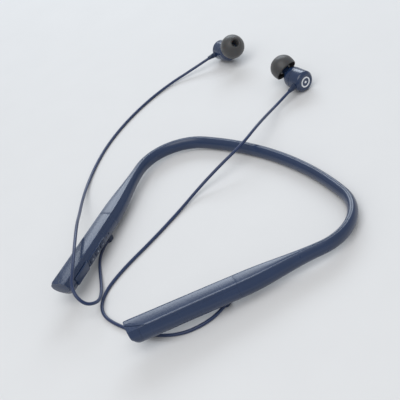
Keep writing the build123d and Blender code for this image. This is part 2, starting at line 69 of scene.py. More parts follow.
# The neckband, as in the CAD, with a narrower crest on the band. An arm's own directions are
# along it from its tip, across towards the neck, and up.
NECKBAND_X, NECKBAND_Y = 19.51, -3.0
TIP = Vector((24.75, -93.5))
ARM_END = Vector((62.5, -11.8))
ARM_LENGTH = (ARM_END - TIP).length
ARM_HEADING = math.atan2(ARM_END.y - TIP.y, ARM_END.x - TIP.x)
SHOULDER_RADIUS, SHOULDER_TURN = 25.9, math.radians(96)
TIP_TOP, POD_TOP, BAND_TOP = 7.4, 6.2, 1.0
POD_WIDTH, BAND_WIDTH = 10.6, 5.0
POD_DEPTH, BAND_DEPTH = 9.8, 7.0
POD_SIDE_ANGLE, BAND_SIDE_ANGLE = 67.0, 28.0
TAPER_START = 53.0
POD_LENGTH = 50.0
COVER_THICKNESS = 1.3
SEAM, CAP_GAP = 0.04, 0.06
GLAND_PLACE, GLAND_ACROSS, GLAND_DROP = 45.0, 1.4, 2.8
GLAND_FRONT, GLAND_REAR, GLAND_WIDTH = 2.7, 1.6, 3.0
GLAND_TURNS = {"left": 8.0, "right": 32.0}

# The controls, at distances along the left pod. Faces are measured out from the pod's middle.
CONTROL_Z = -4.6
BUTTON_PLACES = {"plus": 22.2, "play": 27.6, "minus": 33.0}
KEY_HALF_LENGTH, KEY_HALF_HEIGHT = 2.2, 1.1
KEY_BACK, FLANGE_MARGIN, HOLE_MARGIN = 3.35, 0.3, 0.12
TRIM_HALF_HEIGHT, TRIM_BACK, TRIM_FACE = 1.7, 4.3, 5.45
TRIM_LOW, TRIM_HIGH = BUTTON_PLACES["play"] - 8.5, BUTTON_PLACES["play"] + 8.5
LAMP_PLACE, MICROPHONE_PLACE = 37.9, 40.6
PORT_PLACE, PORT_HALF_LENGTH, PORT_HALF_HEIGHT = 11.7, 4.65, 1.8
PORT_HINGE, HINGE_RADIUS, HINGE_ROOM = PORT_PLACE + 6.0, 0.6, 0.15
PORT_FACE, PORT_COVER_FACE = 4.3, 5.6
COVER_HALF_HEIGHT = 2.2
INSIDE, OUTSIDE = 3.0, 9.0

# The earbuds. A pose is x, y, z, then heading and rise in degrees.
NOZZLE_ANGLE = math.radians(32)
NOZZLE_END = 8.4
BUD_RADIUS, BUD_WALL, BUD_BACK, BUD_SPLIT = 6.0, 1.1, -10.4, -2.6
END_RECESS, BUD_SEAM = 0.3, 0.02
TIP_START, TIP_LENGTH = 5.0, 9.2
BOOT_PLACE, BOOT_LEAN, BOOT_END = -6.3, math.radians(10), 10.8
BUD_POSES = {
    "left": (NECKBAND_X - 95.3, NECKBAND_Y + 93.9, 7.24, -8.35, 8.0),
    "right": (NECKBAND_X - 37.7, NECKBAND_Y + 87.25, 6.34, 174.1, 2.0),
}

# Cord routes, from the point on the floor under the neckband's own origin.
CORD_RADIUS = 0.8
CORD_ROUTES = {
    "left": [
        (-41.7, -53.9, 1.5),
        (-40.3, -59.0, 1.1),
        (-35.1, -66.2, 0.9),
        (-25.5, -73.0, 0.9),
        (-14.9, -79.9, 2.6),
        (-7.6, -86.2, 5.5),
        (-6.8, -93.2, 11.0),
        (-13.6, -92.8, 17.0),
        (-22.1, -84.2, 18.9),
        (-32.9, -74.6, 19.2),
        (-46.1, -63.5, 18.2),
        (-59.0, -54.9, 12.0),
        (-73.65, -44.8, 6.0),
        (-88.2, -32.4, 1.4),
        (-100.2, -15.5, 0.9),
        (-109.1, 2.5, 0.9),
        (-114.85, 22.5, 0.9),
        (-117.5, 42.3, 0.9),
        (-116.5, 60.2, 1.2),
        (-111.2, 72.8, 3.0),
        (-104.35, 85.95, 6.1),
    ],
    "right": [
        (42.9, -53.9, 1.5),
        (43.4, -59.6, 1.0),
        (41.7, -68.0, 0.9),
        (37.1, -76.6, 0.9),
        (27.2, -83.6, 0.9),
        (9.3, -88.8, 0.9),
        (-5.9, -88.9, 0.9),
        (-14.8, -79.7, 0.9),
        (-18.55, -64.4, 0.9),
        (-20.1, -42.7, 0.9),
        (-23.0, -20.3, 0.9),
        (-23.85, -4.5, 3.0),
        (-20.25, 9.4, 8.0),
        (-17.25, 24.5, 11.5),
        (-20.35, 38.8, 11.5),
        (-26.5, 52.3, 7.4),
        (-31.9, 65.3, 3.6),
        (-30.8, 77.25, 6.05),
    ],
}


def arc(start, heading, radius, turn, steps):
    """Points and headings along an arc that bends to the left, from its start on."""
    centre = start + radius * Vector((-math.sin(heading), math.cos(heading)))
    line = []
    for step in range(steps + 1):
        angle = heading + turn * step / steps
        line.append((centre + radius * Vector((math.sin(angle), -math.cos(angle))), angle))
    return line


def band_line():
    """Points and headings along the right half of the band, from the arm's end to the mirror plane."""
    shoulder = arc(ARM_END, ARM_HEADING, SHOULDER_RADIUS, SHOULDER_TURN, 22)
    start, heading = shoulder[-1]
    turn = math.pi - heading
    return shoulder + arc(start, heading, start.x / math.sin(turn), turn, 14)[1:]


BACK_Y = band_line()[-1][0].y
GLAND_Y = TIP.y + GLAND_PLACE * math.sin(ARM_HEADING)
LEAN = math.atan2(POD_DEPTH + GLAND_DROP - BAND_DEPTH, BACK_Y - GLAND_Y)
LIFT = BAND_DEPTH * math.cos(LEAN) + BACK_Y * math.sin(LEAN) + FLOOR_GAP

SCALE = Matrix.Scale(MM, 4)
NECKBAND = SCALE @ Matrix.Translation((NECKBAND_X, NECKBAND_Y, LIFT)) @ Matrix.Rotation(-LEAN, 4, "X")
RIGHT_ARM = Matrix.Translation((TIP.x, TIP.y, 0)) @ Matrix.Rotation(ARM_HEADING, 4, "Z")
ARMS = {
    "right": NECKBAND @ RIGHT_ARM,
    "left": NECKBAND @ Matrix.Scale(-1, 4, (1, 0, 0)) @ RIGHT_ARM,
}


def bud_matrix(side):
    """Frame of an earbud: +X along its axis towards the ear, from where the nozzle's axis starts."""
    x, y, z, heading, rise = BUD_POSES[side]
    turn = Matrix.Rotation(math.radians(heading), 4, "Z") @ Matrix.Rotation(math.radians(-rise), 4, "Y")
    return SCALE @ Matrix.Translation((x, y, z)) @ turn


BUDS = {side: bud_matrix(side) for side in SIDES}
NOZZLES = {side: BUDS[side] @ Matrix.Rotation(-NOZZLE_ANGLE, 4, "Y") for side in SIDES}


# Camera, high up and beside the right arm.
AIM = Vector((0.01094, -0.01924, 0.010))
AZIMUTH, ELEVATION, ROLL = math.radians(59.05), math.radians(37.41), math.radians(-21.81)
DISTANCE = 0.4076
LENS = 75.98



def direction_to(azimuth, elevation):
    """Unit vector from the object towards a viewer or a light."""
    level = math.cos(elevation)
    return Vector((math.sin(azimuth) * level, -math.cos(azimuth) * level, math.sin(elevation)))


back = direction_to(AZIMUTH, ELEVATION)
camera = bpy.data.objects.new("camera", bpy.data.cameras.new("camera"))
camera.data.lens = LENS
camera.data.sensor_width = 36
camera.data.clip_start, camera.data.clip_end = 0.01, 20
camera.location = AIM + back * DISTANCE
camera.rotation_mode = "QUATERNION"
camera.rotation_quaternion = (-back).to_track_quat("-Z", "Y") @ Quaternion((0, 0, 1), ROLL)
bpy.context.scene.collection.objects.link(camera)
bpy.context.scene.camera = camera


# Materials.


class Shader:
    """A material being wired: a Principled shader and the object's own coordinates."""

    def __init__(self, name):
        self.material = bpy.data.materials.new(name)
        self.material.use_nodes = True
        self.nodes = self.material.node_tree.nodes
        self.links = self.material.node_tree.links
        self.surface = self.nodes["Principled BSDF"]
        self.place = self.nodes.new("ShaderNodeTexCoord").outputs["Object"]
        self.height = None

    def set(self, **values):
        for key, value in values.items():
            self.surface.inputs[key.replace("_", " ")].default_value = value

    def link(self, output, socket):
        self.links.new(output, self.surface.inputs[socket])

    def noise(self, scale, detail=3.0, stretch=(1, 1, 1), roughness=0.5):
        """Noise with about one blotch every 1/scale metres."""
        mapping = self.nodes.new("ShaderNodeMapping")
        mapping.inputs["Scale"].default_value = stretch
        self.links.new(self.place, mapping.inputs["Vector"])
        texture = self.nodes.new("ShaderNodeTexNoise")
        texture.inputs["Scale"].default_value = scale
        texture.inputs["Detail"].default_value = detail
        texture.inputs["Roughness"].default_value = roughness
        self.links.new(mapping.outputs["Vector"], texture.inputs["Vector"])
        return texture.outputs["Fac"]

    def cells(self, scale, feature="F1", spread=1.0):
        texture = self.nodes.new("ShaderNodeTexVoronoi")
        texture.feature = feature
        texture.inputs["Scale"].default_value = scale
        texture.inputs["Randomness"].default_value = spread
        self.links.new(self.place, texture.inputs["Vector"])
        return texture.outputs["Distance"]

    def ramp(self, value, *stops):
        """Maps 0-1 onto numbers or colours given as (position, colour or number)."""
        node = self.nodes.new("ShaderNodeValToRGB")
        while len(node.color_ramp.elements) < len(stops):
            node.color_ramp.elements.new(0.5)
        for element, (position, colour) in zip(node.color_ramp.elements, stops):
            element.position = position
            grey = isinstance(colour, (int, float))
            element.color = (colour, colour, colour, 1) if grey else (*colour, 1)
        self.links.new(value, node.inputs["Fac"])
        return node.outputs["Color"]

    def bump(self, value, depth, strength=1.0):
        """Adds relief of a depth in metres, on top of what is there."""
        node = self.nodes.new("ShaderNodeBump")
        node.inputs["Strength"].default_value = strength
        node.inputs["Distance"].default_value = depth
        self.links.new(value, node.inputs["Height"])
        if self.height:
            self.links.new(self.height, node.inputs["Normal"])
        self.height = node.outputs["Normal"]
        self.link(self.height, "Normal")


def shade(colour, factor):
    return tuple(channel * factor for channel in colour)


def moulded(name, colour, rough, spread=0.05, grain=2500, grain_depth=0.0000004, **values):
    """Moulded or painted plastic: faint mottling, a fine grain, and roughness that varies with handling."""
    shader = Shader(name)
    blotches = shader.noise(60, 3)
    shader.link(shader.ramp(blotches, (0.3, shade(colour, 0.92)), (0.7, shade(colour, 1.08))), "Base Color")
    smudges = shader.noise(90, 3)
    shader.link(shader.ramp(smudges, (0.3, rough - spread), (0.7, rough + spread)), "Roughness")
    shader.bump(shader.noise(grain, 2), grain_depth)
    shader.set(**values)
    return shader


NAVY = (0.013, 0.030, 0.080)
shell = moulded("shell_plastic", NAVY, 0.27, 0.02, IOR=1.5, Coat_Weight=0.2, Coat_Roughness=0.2).material
silicone = moulded("band_silicone", NAVY, 0.29, 0.02, IOR=1.5, Coat_Weight=0.15, Coat_Roughness=0.22).material
bud_shell = moulded("bud_plastic", NAVY, 0.24, 0.04, IOR=1.5, Coat_Weight=0.3, Coat_Roughness=0.14).material
soft_navy = moulded("gland_rubber", shade(NAVY, 0.8), 0.42, 0.06, 9000, 0.000008).material
key_rubber = moulded("key_rubber", shade(NAVY, 0.62), 0.38, 0.05, 9000, 0.000008).material

cord_look = moulded("cord_sleeve", (0.012, 0.027, 0.085), 0.36, 0.06, 7000, 0.000006)
cord_look.set(IOR=1.48, Sheen_Weight=0.05)
cord_look.bump(cord_look.noise(700, 2, roughness=0.4), 0.00002, 0.5)
cord_sleeve = cord_look.material

tip_look = moulded("ear_tip_silicone", (0.052, 0.051, 0.052), 0.42, 0.07, 8000, 0.000008)
tip_look.set(IOR=1.43, Sheen_Weight=0.1, Sheen_Roughness=0.5)
tip_look.set(Subsurface_Weight=0.08, Subsurface_Scale=0.0006)
ear_silicone = tip_look.material

emblem = moulded("emblem_print", (0.74, 0.76, 0.79), 0.34, 0.06, 5000).material
symbols = moulded("key_symbols", (0.30, 0.34, 0.40), 0.4, 0.05, 5000).material
black_plastic = moulded("black_plastic", (0.014, 0.014, 0.015), 0.45, 0.07, 7000, 0.000008).material

mesh_look = Shader("nozzle_mesh")
holes_and_painted_shade = mesh_look.cells(4200, spread=0.15)
# The near-black discs in the base colour are painted shade seen through the mesh's holes; the same cells also
# dent the surface.
mesh_look.link(mesh_look.ramp(holes_and_painted_shade, (0.32, (0.004, 0.004, 0.005)), (0.44, (0.16, 0.16, 0.17))), "Base Color")
mesh_look.link(mesh_look.ramp(mesh_look.noise(2500), (0.3, 0.3), (0.7, 0.48)), "Roughness")
mesh_look.bump(holes_and_painted_shade, 0.00008, 0.9)
mesh_look.set(Metallic=0.85)

board_look = Shader("circuit_board")
tracks = board_look.cells(700, "DISTANCE_TO_EDGE", 0.9)
lacquer = board_look.ramp(tracks, (0.02, (0.03, 0.16, 0.05)), (0.06, (0.006, 0.06, 0.022)))
board_look.link(lacquer, "Base Color")
board_look.link(board_look.ramp(board_look.noise(900), (0.3, 0.3), (0.7, 0.42)), "Roughness")
board_look.bump(tracks, 0.00003, 0.6)


def metal(name, colour, rough, stretch=(1, 1, 1)):
    """Worked metal: fine drawn streaks and uneven polish."""
    shader = Shader(name)
    streaks = shader.noise(900, 4, stretch)
    shader.link(shader.ramp(streaks, (0.3, shade(colour, 0.82)), (0.7, colour)), "Base Color")
    shader.link(shader.ramp(streaks, (0.3, rough - 0.06), (0.7, rough + 0.08)), "Roughness")
    shader.bump(streaks, 0.00001, 0.5)
    shader.set(Metallic=1.0)
    return shader.material


steel = metal("plated_steel", (0.62, 0.62, 0.60), 0.28, (1, 6, 6))
copper = metal("copper", (0.72, 0.34, 0.17), 0.3, (6, 1, 6))
spring_steel = metal("spring_steel", (0.42, 0.43, 0.45), 0.34, (1, 1, 9))

foil_look = Shader("battery_foil")
wrinkles = foil_look.noise(600, 6)
foil_look.link(foil_look.ramp(wrinkles, (0.3, (0.42, 0.43, 0.45)), (0.7, (0.58, 0.59, 0.6))), "Base Color")
foil_look.link(foil_look.ramp(wrinkles, (0.3, 0.28), (0.7, 0.42)), "Roughness")
foil_look.bump(wrinkles, 0.00012, 0.6)
foil_look.set(Metallic=0.9)

foam_look = Shader("foam")
pores_and_painted_shade = foam_look.cells(2600)
# Darker pore centres in the base colour are painted shade in the pores; the same cells also dent the surface.
foam_look.link(foam_look.ramp(pores_and_painted_shade, (0.1, (0.02, 0.02, 0.02)), (0.5, (0.07, 0.07, 0.07))), "Base Color")
foam_look.link(foam_look.ramp(pores_and_painted_shade, (0.1, 0.85), (0.6, 0.95)), "Roughness")
foam_look.bump(pores_and_painted_shade, 0.0001)

clear_look = Shader("smoked_light_guide")
haze = clear_look.noise(1500, 3)
smoke = clear_look.ramp(haze, (0.3, (0.012, 0.016, 0.024)), (0.7, (0.022, 0.028, 0.04)))
clear_look.link(smoke, "Base Color")
clear_look.link(clear_look.ramp(haze, (0.3, 0.22), (0.7, 0.36)), "Roughness")
clear_look.set(Transmission_Weight=0.2, IOR=1.49)

LOOKS = {
    "shell": shell,
    "silicone": silicone,
    "bud_shell": bud_shell,
    "cord": cord_sleeve,
    "ear_tip": ear_silicone,
    "emblem": emblem,
    "mesh": mesh_look.material,
    "spring_steel": spring_steel,
    "cable": black_plastic,
    "plated_steel": steel,
    "black_plastic": black_plastic,
    "circuit_board": board_look.material,
    "battery": foil_look.material,
    "foam": foam_look.material,
    "clear_plastic": clear_look.material,
    "copper": copper,
}


# Meshes.


def build_mesh(name, points, faces, matrix, material, sharp=35.0):
    """A piece from points in millimetres in some frame, with its normals turned outwards."""
    bm = bmesh.new()
    verts = [bm.verts.new(matrix @ Vector(point)) for point in points]
    for face in faces:
        corners = [verts[index] for index in dict.fromkeys(face)]
        if len(corners) > 2:
            bm.faces.new(corners)
    bmesh.ops.remove_doubles(bm, verts=bm.verts, dist=0.003 * MM)
    bmesh.ops.dissolve_degenerate(bm, edges=bm.edges, dist=0.001 * MM)
    bmesh.ops.recalc_face_normals(bm, faces=bm.faces)
    mesh = bpy.data.meshes.new(name)
    bm.to_mesh(mesh)
    bm.free()
    piece = bpy.data.objects.new(name, mesh)
    bpy.context.scene.collection.objects.link(piece)
    mesh.materials.append(material)
    finish_mesh(piece, sharp)
    return piece


def finish_mesh(piece, sharp=35.0):
    """Smooth shading, with edges over the sharp angle kept crisp."""
    piece.data.shade_smooth()
    piece.data.set_sharp_from_angle(angle=math.radians(sharp))


def loft(rings, looped=False):
    """Points and faces through closed rings of equal count, with the ends filled or joined to each other."""
    count = len(rings[0])
    points = [point for ring in rings for point in ring]
    faces = []
    for row in range(len(rings) if looped else len(rings) - 1):
        near, far = row * count, (row + 1) % len(rings) * count
        for column in range(count):
            after = (column + 1) % count
            faces.append((near + column, near + after, far + after, far + column))
    if not looped:
        faces.append(tuple(range(count)))
        faces.append(tuple((len(rings) - 1) * count + column for column in range(count)))
    return points, faces


def revolve(profile, segments):
    """Points and faces of a closed outline of (distance along X, radius), turned about X."""
    rings = []
    for step in range(segments):
        angle = 2 * math.pi * step / segments
        rings.append([(x, r * math.cos(angle), r * math.sin(angle)) for x, r in profile])
    return loft(rings, looped=True)


def bezier(start, first, second, end, steps):
    """Points of a Bezier from just after its start up to and including its end."""
    controls = (start, first, second, end)
    points = []
    for step in range(1, steps + 1):
        t = step / steps
        weights = ((1 - t) ** 3, 3 * t * (1 - t) ** 2, 3 * t * t * (1 - t), t**3)
        points.append(tuple(sum(w * p[k] for w, p in zip(weights, controls)) for k in range(2)))
    return points


def rounded(corners, steps=4):
    """Closed outline through corners of (x, y, radius), each corner rounded."""
    near = 0.45
    outline = []
    count = len(corners)
    for index, (x, y, radius) in enumerate(corners):
        here = Vector((x, y))
        if radius <= 0:
            outline.append((x, y))
            continue
        before = Vector(corners[index - 1][:2]) - here
        after = Vector(corners[(index + 1) % count][:2]) - here
        reach = min(radius, 0.48 * before.length, 0.48 * after.length)
        start = here + before.normalized() * reach
        end = here + after.normalized() * reach
        outline.append(tuple(start))
        outline += bezier(start, here.lerp(start, near), here.lerp(end, near), end, steps)
    return outline


def circle(x, y, radius, count=24):
    """Outline of a circle."""
    outline = []
    for step in range(count):
        angle = 2 * math.pi * step / count
        outline.append((x + radius * math.cos(angle), y + radius * math.sin(angle)))
    return outline


def rectangle(x_middle, half_length, half_height, radius):
    """Rounded rectangle about a place on the neck's side of a pod."""
    low, high = x_middle - half_length, x_middle + half_length
    return strip(low, high, half_height, radius)


def strip(low, high, half_height, radius):
    """Rounded rectangle between two places on the neck's side of a pod."""
    corners = [(low, -half_height), (high, -half_height), (high, half_height), (low, half_height)]
    return rounded([(x, y, radius) for x, y in corners], 5)


def boolean(piece, cutter, operation, sharp=35.0):
    """Cuts, joins or intersects a piece with another mesh, which is used up."""
    modifier = piece.modifiers.new("cut", "BOOLEAN")
    modifier.operation = operation
    modifier.solver = "EXACT"
    modifier.object = cutter
    bpy.context.view_layer.update()
    result = bpy.data.meshes.new_from_object(piece.evaluated_get(bpy.context.evaluated_depsgraph_get()))
    piece.modifiers.clear()
    old = piece.data
    piece.data = result
    bpy.data.meshes.remove(old)
    finish_mesh(piece, sharp)
    if not result.polygons:
        raise RuntimeError("nothing left of " + piece.name)
    used = cutter.data
    bpy.data.objects.remove(cutter)
    bpy.data.meshes.remove(used)


def copy(piece, name):
    """A second piece with its own copy of a mesh."""
    twin = bpy.data.objects.new(name, piece.data.copy())
    bpy.context.scene.collection.objects.link(twin)
    return twin


def box(low, high, matrix):
    """A plain box, for cutting."""
    (x0, y0, z0), (x1, y1, z1) = low, high
    rings = [[(x0, y0, z), (x1, y0, z), (x1, y1, z), (x0, y1, z)] for z in (z0, z1)]
    return build_mesh("cutter", *loft(rings), matrix, shell)


def prism(name, outline, low, high, matrix, material=shell, edge=0.0):
    """An outline raised between two heights, its rims rounded by edge."""
    return build_mesh(name, *prism_faces(outline, low, high, edge), matrix, material)


def nearer(distance, inset):
    """A signed distance brought nearer to nothing, and not past it."""
    return math.copysign(max(abs(distance) - inset, 0.0), distance)


def prism_faces(outline, low, high, edge):
    """Points and faces of an outline raised between two heights, with rounded rims."""
    count = len(outline)
    centre = Vector((sum(x for x, _ in outline) / count, sum(y for _, y in outline) / count))

    def ring(height, inset):
        points = []
        for x, y in outline:
            away = Vector((x, y)) - centre
            points.append((centre.x + nearer(away.x, inset), centre.y + nearer(away.y, inset), height))
        return points

    if edge <= 0:
        return loft([ring(low, 0), ring(high, 0)])
    rim = [(0.0, 1.0), (0.12, 0.5), (0.5, 0.12), (1.0, 0.0)]
    rings = [ring(low + edge * up, edge * inset) for up, inset in rim]
    rings += [ring(high - edge * up, edge * inset) for up, inset in reversed(rim)]
    return loft(rings)


# Sections of the neckband.

CROWN = 0.16
EDGE_ROUND = 0.35


def section(top, width, depth, angle, crown=CROWN):
    """Outline across an arm or the band, as (across, up): crowned top, bulging sides and rounded bottom."""
    half_top, half = top / 2, width / 2
    corner = Vector((half_top, 0))
    flat = [(0.0, 0.0)]
    edge_start = Vector((half_top - EDGE_ROUND, -crown * 0.9))
    side = Vector((math.cos(math.radians(angle)), -math.sin(math.radians(angle))))
    for step in range(1, 6):
        share = step / 5
        flat.append((edge_start.x * share, -crown * 0.9 * share**2.2))
    edge_end = corner + side * EDGE_ROUND * 1.5
    right = flat + bezier(edge_start, corner.lerp(edge_start, 0.45), corner.lerp(edge_end, 0.35), edge_end, 5)
    wide = (half, -0.45 * depth)
    right += bezier(edge_end, edge_end + side * 0.12 * depth, (half, -0.31 * depth), wide, 8)
    right += bezier(wide, (half, -0.78 * depth), (0.27 * width, -depth), (0, -depth), 16)
    return right + [(-x, y) for x, y in reversed(right[1:-1])]


def arm_sizes(place):
    """Top width, full width, depth and side angle of an arm at a distance from its tip."""
    if place < TAPER_START:
        return TIP_TOP + (POD_TOP - TIP_TOP) * place / TAPER_START, POD_WIDTH, POD_DEPTH, POD_SIDE_ANGLE
    share = min((place - TAPER_START) / (ARM_LENGTH - TAPER_START), 1.0)
    ease = share * share * (3 - 2 * share)
    pod_sizes = (POD_TOP, POD_WIDTH, POD_DEPTH, POD_SIDE_ANGLE)
    band_sizes = (BAND_TOP, BAND_WIDTH, BAND_DEPTH, BAND_SIDE_ANGLE)
    return tuple(first + (last - first) * ease for first, last in zip(pod_sizes, band_sizes))


def arm_ring(place, inset=0.0, sizes=None, slant=0.0):
    """A ring across an arm, shrunk by inset all round and leaning back below its top by slant."""
    top, width, depth, angle = sizes or arm_sizes(place)
    middle = -depth / 2
    ring = []
    for across, up in section(top, width, depth, angle):
        shrink_across = 1 - 2 * inset / width
        shrink_up = 1 - 2 * inset / depth
        z = middle + (up - middle) * shrink_up
        ring.append((place - slant * z, across * shrink_across, z))
    return ring


NOSE_RADIUS = 3.4
NOSE_CENTRE = 4.46
NOSE_FRONT = 0.14
NOSE_SLANT = 0.1376


def pod_outer(name, side):
    """The whole outside of a pod as one closed skin, from its rounded nose to its rear."""
    rings = []
    for narrow, forward, depth in ((1.5, 0.0, 6.3), (0.95, 0.06, 6.6), (0.5, 0.25, 6.85), (0.18, 0.6, 7.1)):
        top, width, _, angle = arm_sizes(forward)
        ring = arm_ring(NOSE_FRONT + forward, 0, (top - narrow, width - narrow, depth, angle), NOSE_SLANT)
        rings.append(ring)
    for climb in (31, 40, 50, 60, 70, 80, 90):
        turn = math.radians(climb)
        place = NOSE_CENTRE - NOSE_RADIUS * math.cos(turn)
        depth = POD_DEPTH - NOSE_RADIUS * (1 - math.sin(turn))
        top, width, _, angle = arm_sizes(place)
        fade = max(0.0, 1 - place / NOSE_CENTRE)
        rings.append(arm_ring(place, 0, (top, width, depth, angle), NOSE_SLANT * fade))
    rings += [arm_ring(place) for place in (6, 8, 11, 15, 20, 26, 32, 38, 44, POD_LENGTH)]
    return build_mesh(name, *loft(rings), ARMS[side], shell, 45)


CAP_INNER, CAP_OUTER, CAP_BOW = 1.2, 5.0, 0.5
CREASE_END, CREASE_HEADING, CREASE_FALL = 8.9, math.radians(-27.3), math.radians(4)
CREASE_REACH, CREASE_BOW, CREASE_HALF = 12, 0.5, 0.16


def cap_seam(across):
    """Distance of the cap's curved seam from the tip."""
    share = 0.5 - across / TIP_TOP
    return CAP_INNER + (CAP_OUTER - CAP_INNER) * share + CAP_BOW * (1 - (2 * share - 1) ** 2)


def cap_front(side, gap):
    """Cutter for the space in front of the cap's seam."""
    back_edge = [(cap_seam(across) - gap, across) for across in (-8 + step for step in range(17))]
    outline = [(-3, 8), (-3, -8), *back_edge]
    return prism("cutter", outline, -13, 3, ARMS[side])


def facet_cutter(side):
    """Cutter whose underside falls away over the outer front corner, from the crease."""
    turn = Matrix.Rotation(CREASE_HEADING, 4, "Z") @ Matrix.Rotation(CREASE_FALL, 4, "X")
    place = Matrix.Translation((CREASE_END, -TIP_TOP / 2, -0.08)) @ turn
    return box((-30, -20, 0), (10, 20, 10), ARMS[side] @ place)


def crease_cutter(side):
    """Cutter for the fine curved groove between the pod's top and the falling corner."""
    along = Vector((math.cos(CREASE_HEADING), math.sin(CREASE_HEADING)))
    outwards = Vector((along.y, -along.x))
    end = Vector((CREASE_END + 0.6, -TIP_TOP / 2 - 0.3))
    edges = ([], [])
    steps = 12
    for step in range(steps + 1):
        share = step / steps
        middle = end - along * CREASE_REACH * share + outwards * CREASE_BOW * math.sin(math.pi * share)
        for edge, offset in zip(edges, (-CREASE_HALF, CREASE_HALF)):
            edge.append(tuple(middle + outwards * offset))
    return prism("cutter", edges[0] + edges[1][::-1], -0.45, 2, ARMS[side])


def pod_inside(side):
    """Cutter for the hollow of a pod, open at its rear."""
    rings = []
    for place in (7.0, 20.0, 35.0, POD_LENGTH + 1):
        ring = section(arm_sizes(place)[0] - 1.6, POD_WIDTH - 2.4, POD_DEPTH - 2.5, POD_SIDE_ANGLE, 0)
        rings.append([(place, across, up - COVER_THICKNESS) for across, up in ring])
    return build_mesh("cutter", *loft(rings), ARMS[side], shell)


def slab(side, low, high):
    """Cutter for a whole pod between two heights."""
    return box((-2, -9, low), (POD_LENGTH + 2, 9, high), ARMS[side])


def ride(piece, body, slot, *nodes):
    """Fixes a piece to a body, in the place of CAD nodes. The slot is not used."""
    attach(piece, body)
    if nodes:
        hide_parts(*nodes)


BODY = next(body for body in frame["bodies"] if body.startswith("neckband"))


# Cords.


def cord(side):
    """The cord of one earbud, as one smooth curve."""
    points = [Vector((x + NECKBAND_X, y + NECKBAND_Y, z)) * MM for x, y, z in CORD_ROUTES[side]]
    curve = bpy.data.curves.new(side + "_cord_sleeve", "CURVE")
    curve.dimensions = "3D"
    curve.bevel_depth = CORD_RADIUS * MM
    curve.bevel_resolution = 5
    curve.resolution_u = 16
    curve.use_fill_caps = True
    spline = curve.splines.new("NURBS")
    spline.points.add(len(points) - 1)
    for control, point in zip(spline.points, points):
        control.co = (*point, 1)
    spline.order_u = 3
    spline.use_endpoint_u = True
    curve.materials.append(cord_sleeve)
    piece = bpy.data.objects.new(side + "_cord_sleeve", curve)
    bpy.context.scene.collection.objects.link(piece)
    ride(piece, BODY, "cord", side + "_cord")


for side in SIDES:
    cord(side)


# Neckband.


def jacket():
    """Soft jacket of both arms and the band, as one skin."""
    half = []
    places = [POD_LENGTH + SEAM, 50.2, 51.5, 53, 55, 57.5, 60, 63, 66, 69, 72, 75, 78, 81, 84, 87]
    for index, place in enumerate(places):
        ring = arm_ring(place, SEAM if index == 0 else 0.0)
        half.append([tuple(RIGHT_ARM @ Vector(point)) for point in ring])
    outline = section(BAND_TOP, BAND_WIDTH, BAND_DEPTH, BAND_SIDE_ANGLE)
    for point, heading in band_line():
        inward = Vector((-math.sin(heading), math.cos(heading)))
        half.append([(*(point + inward * across), up) for across, up in outline])
    other = [[(-x, y, z) for x, y, z in ring] for ring in reversed(half[:-1])]
    return build_mesh("band_jacket_skin", *loft(half + other), NECKBAND, silicone, 50)


ride(jacket(), BODY, "silicone", "band_jacket")


def gland(side):
    """Strain relief under a pod: a rounded foot with a soft waist, trimmed by the floor."""
    turn = Matrix.Rotation(math.radians(GLAND_TURNS[side]), 4, "Z")
    place = ARMS[side] @ Matrix.Translation((GLAND_PLACE, GLAND_ACROSS, 0)) @ turn
    rings = []
    waist = [(-8.9, 0.4), (-9.5, 0.28), (-10.2, 0.1)]
    foot = [(-10.8, 0.0), (-11.7, 0.0), (-12.3, 0.08), (-13.0, 0.25)]
    for up, inset in waist + foot:
        half = GLAND_WIDTH / 2 - inset
        front, rear = -GLAND_FRONT + inset, GLAND_REAR - inset
        corners = [(front, -half, 1.3), (rear, -half, 1.3), (rear, half, 1.3), (front, half, 1.3)]
        rings.append([(x, y, up) for x, y in rounded(corners, 5)])
    piece = build_mesh(side + "_gland_foot", *loft(rings), place, soft_navy, 50)
    for vert in piece.data.vertices:
        vert.co.z = max(vert.co.z, FLOOR_GAP * MM)
    bm = bmesh.new()
    bm.from_mesh(piece.data)
    bmesh.ops.dissolve_degenerate(bm, edges=bm.edges, dist=0.01 * MM)
    bm.to_mesh(piece.data)
    bm.free()
    finish_mesh(piece, 50)
    ride(piece, BODY, "silicone", side + "_cord_gland")


# Frame on the neck's side of the left pod: +X along the pod, +Y up, +Z out of its side.
FACING = ARMS["left"] @ Matrix(((1, 0, 0, 0), (0, 0, 1, 0), (0, 1, 0, CONTROL_Z), (0, 0, 0, 1)))


def openings(pod):
    """Cuts the left shell for its controls."""
    cuts = [
        (strip(TRIM_LOW, TRIM_HIGH, TRIM_HALF_HEIGHT, 0.02), INSIDE),
        (rectangle(PORT_PLACE, PORT_HALF_LENGTH, PORT_HALF_HEIGHT, 0.02), INSIDE),
        (strip(PORT_PLACE - 5.6, PORT_PLACE + 6.2, 2.4, 0.02), PORT_FACE + 0.3),
        (circle(LAMP_PLACE, 0, 0.6), INSIDE),
        (circle(MICROPHONE_PLACE, 0, 0.5), INSIDE),
    ]
    for outline, low in cuts:
        boolean(pod, prism("cutter", outline, low, OUTSIDE, FACING), "DIFFERENCE")
    knuckle = circle(PORT_HINGE, PORT_COVER_FACE - HINGE_RADIUS, HINGE_RADIUS + HINGE_ROOM)
    groove = prism("cutter", knuckle, CONTROL_Z - 2.3, CONTROL_Z + 2.3, ARMS["left"])
    boolean(pod, groove, "DIFFERENCE")


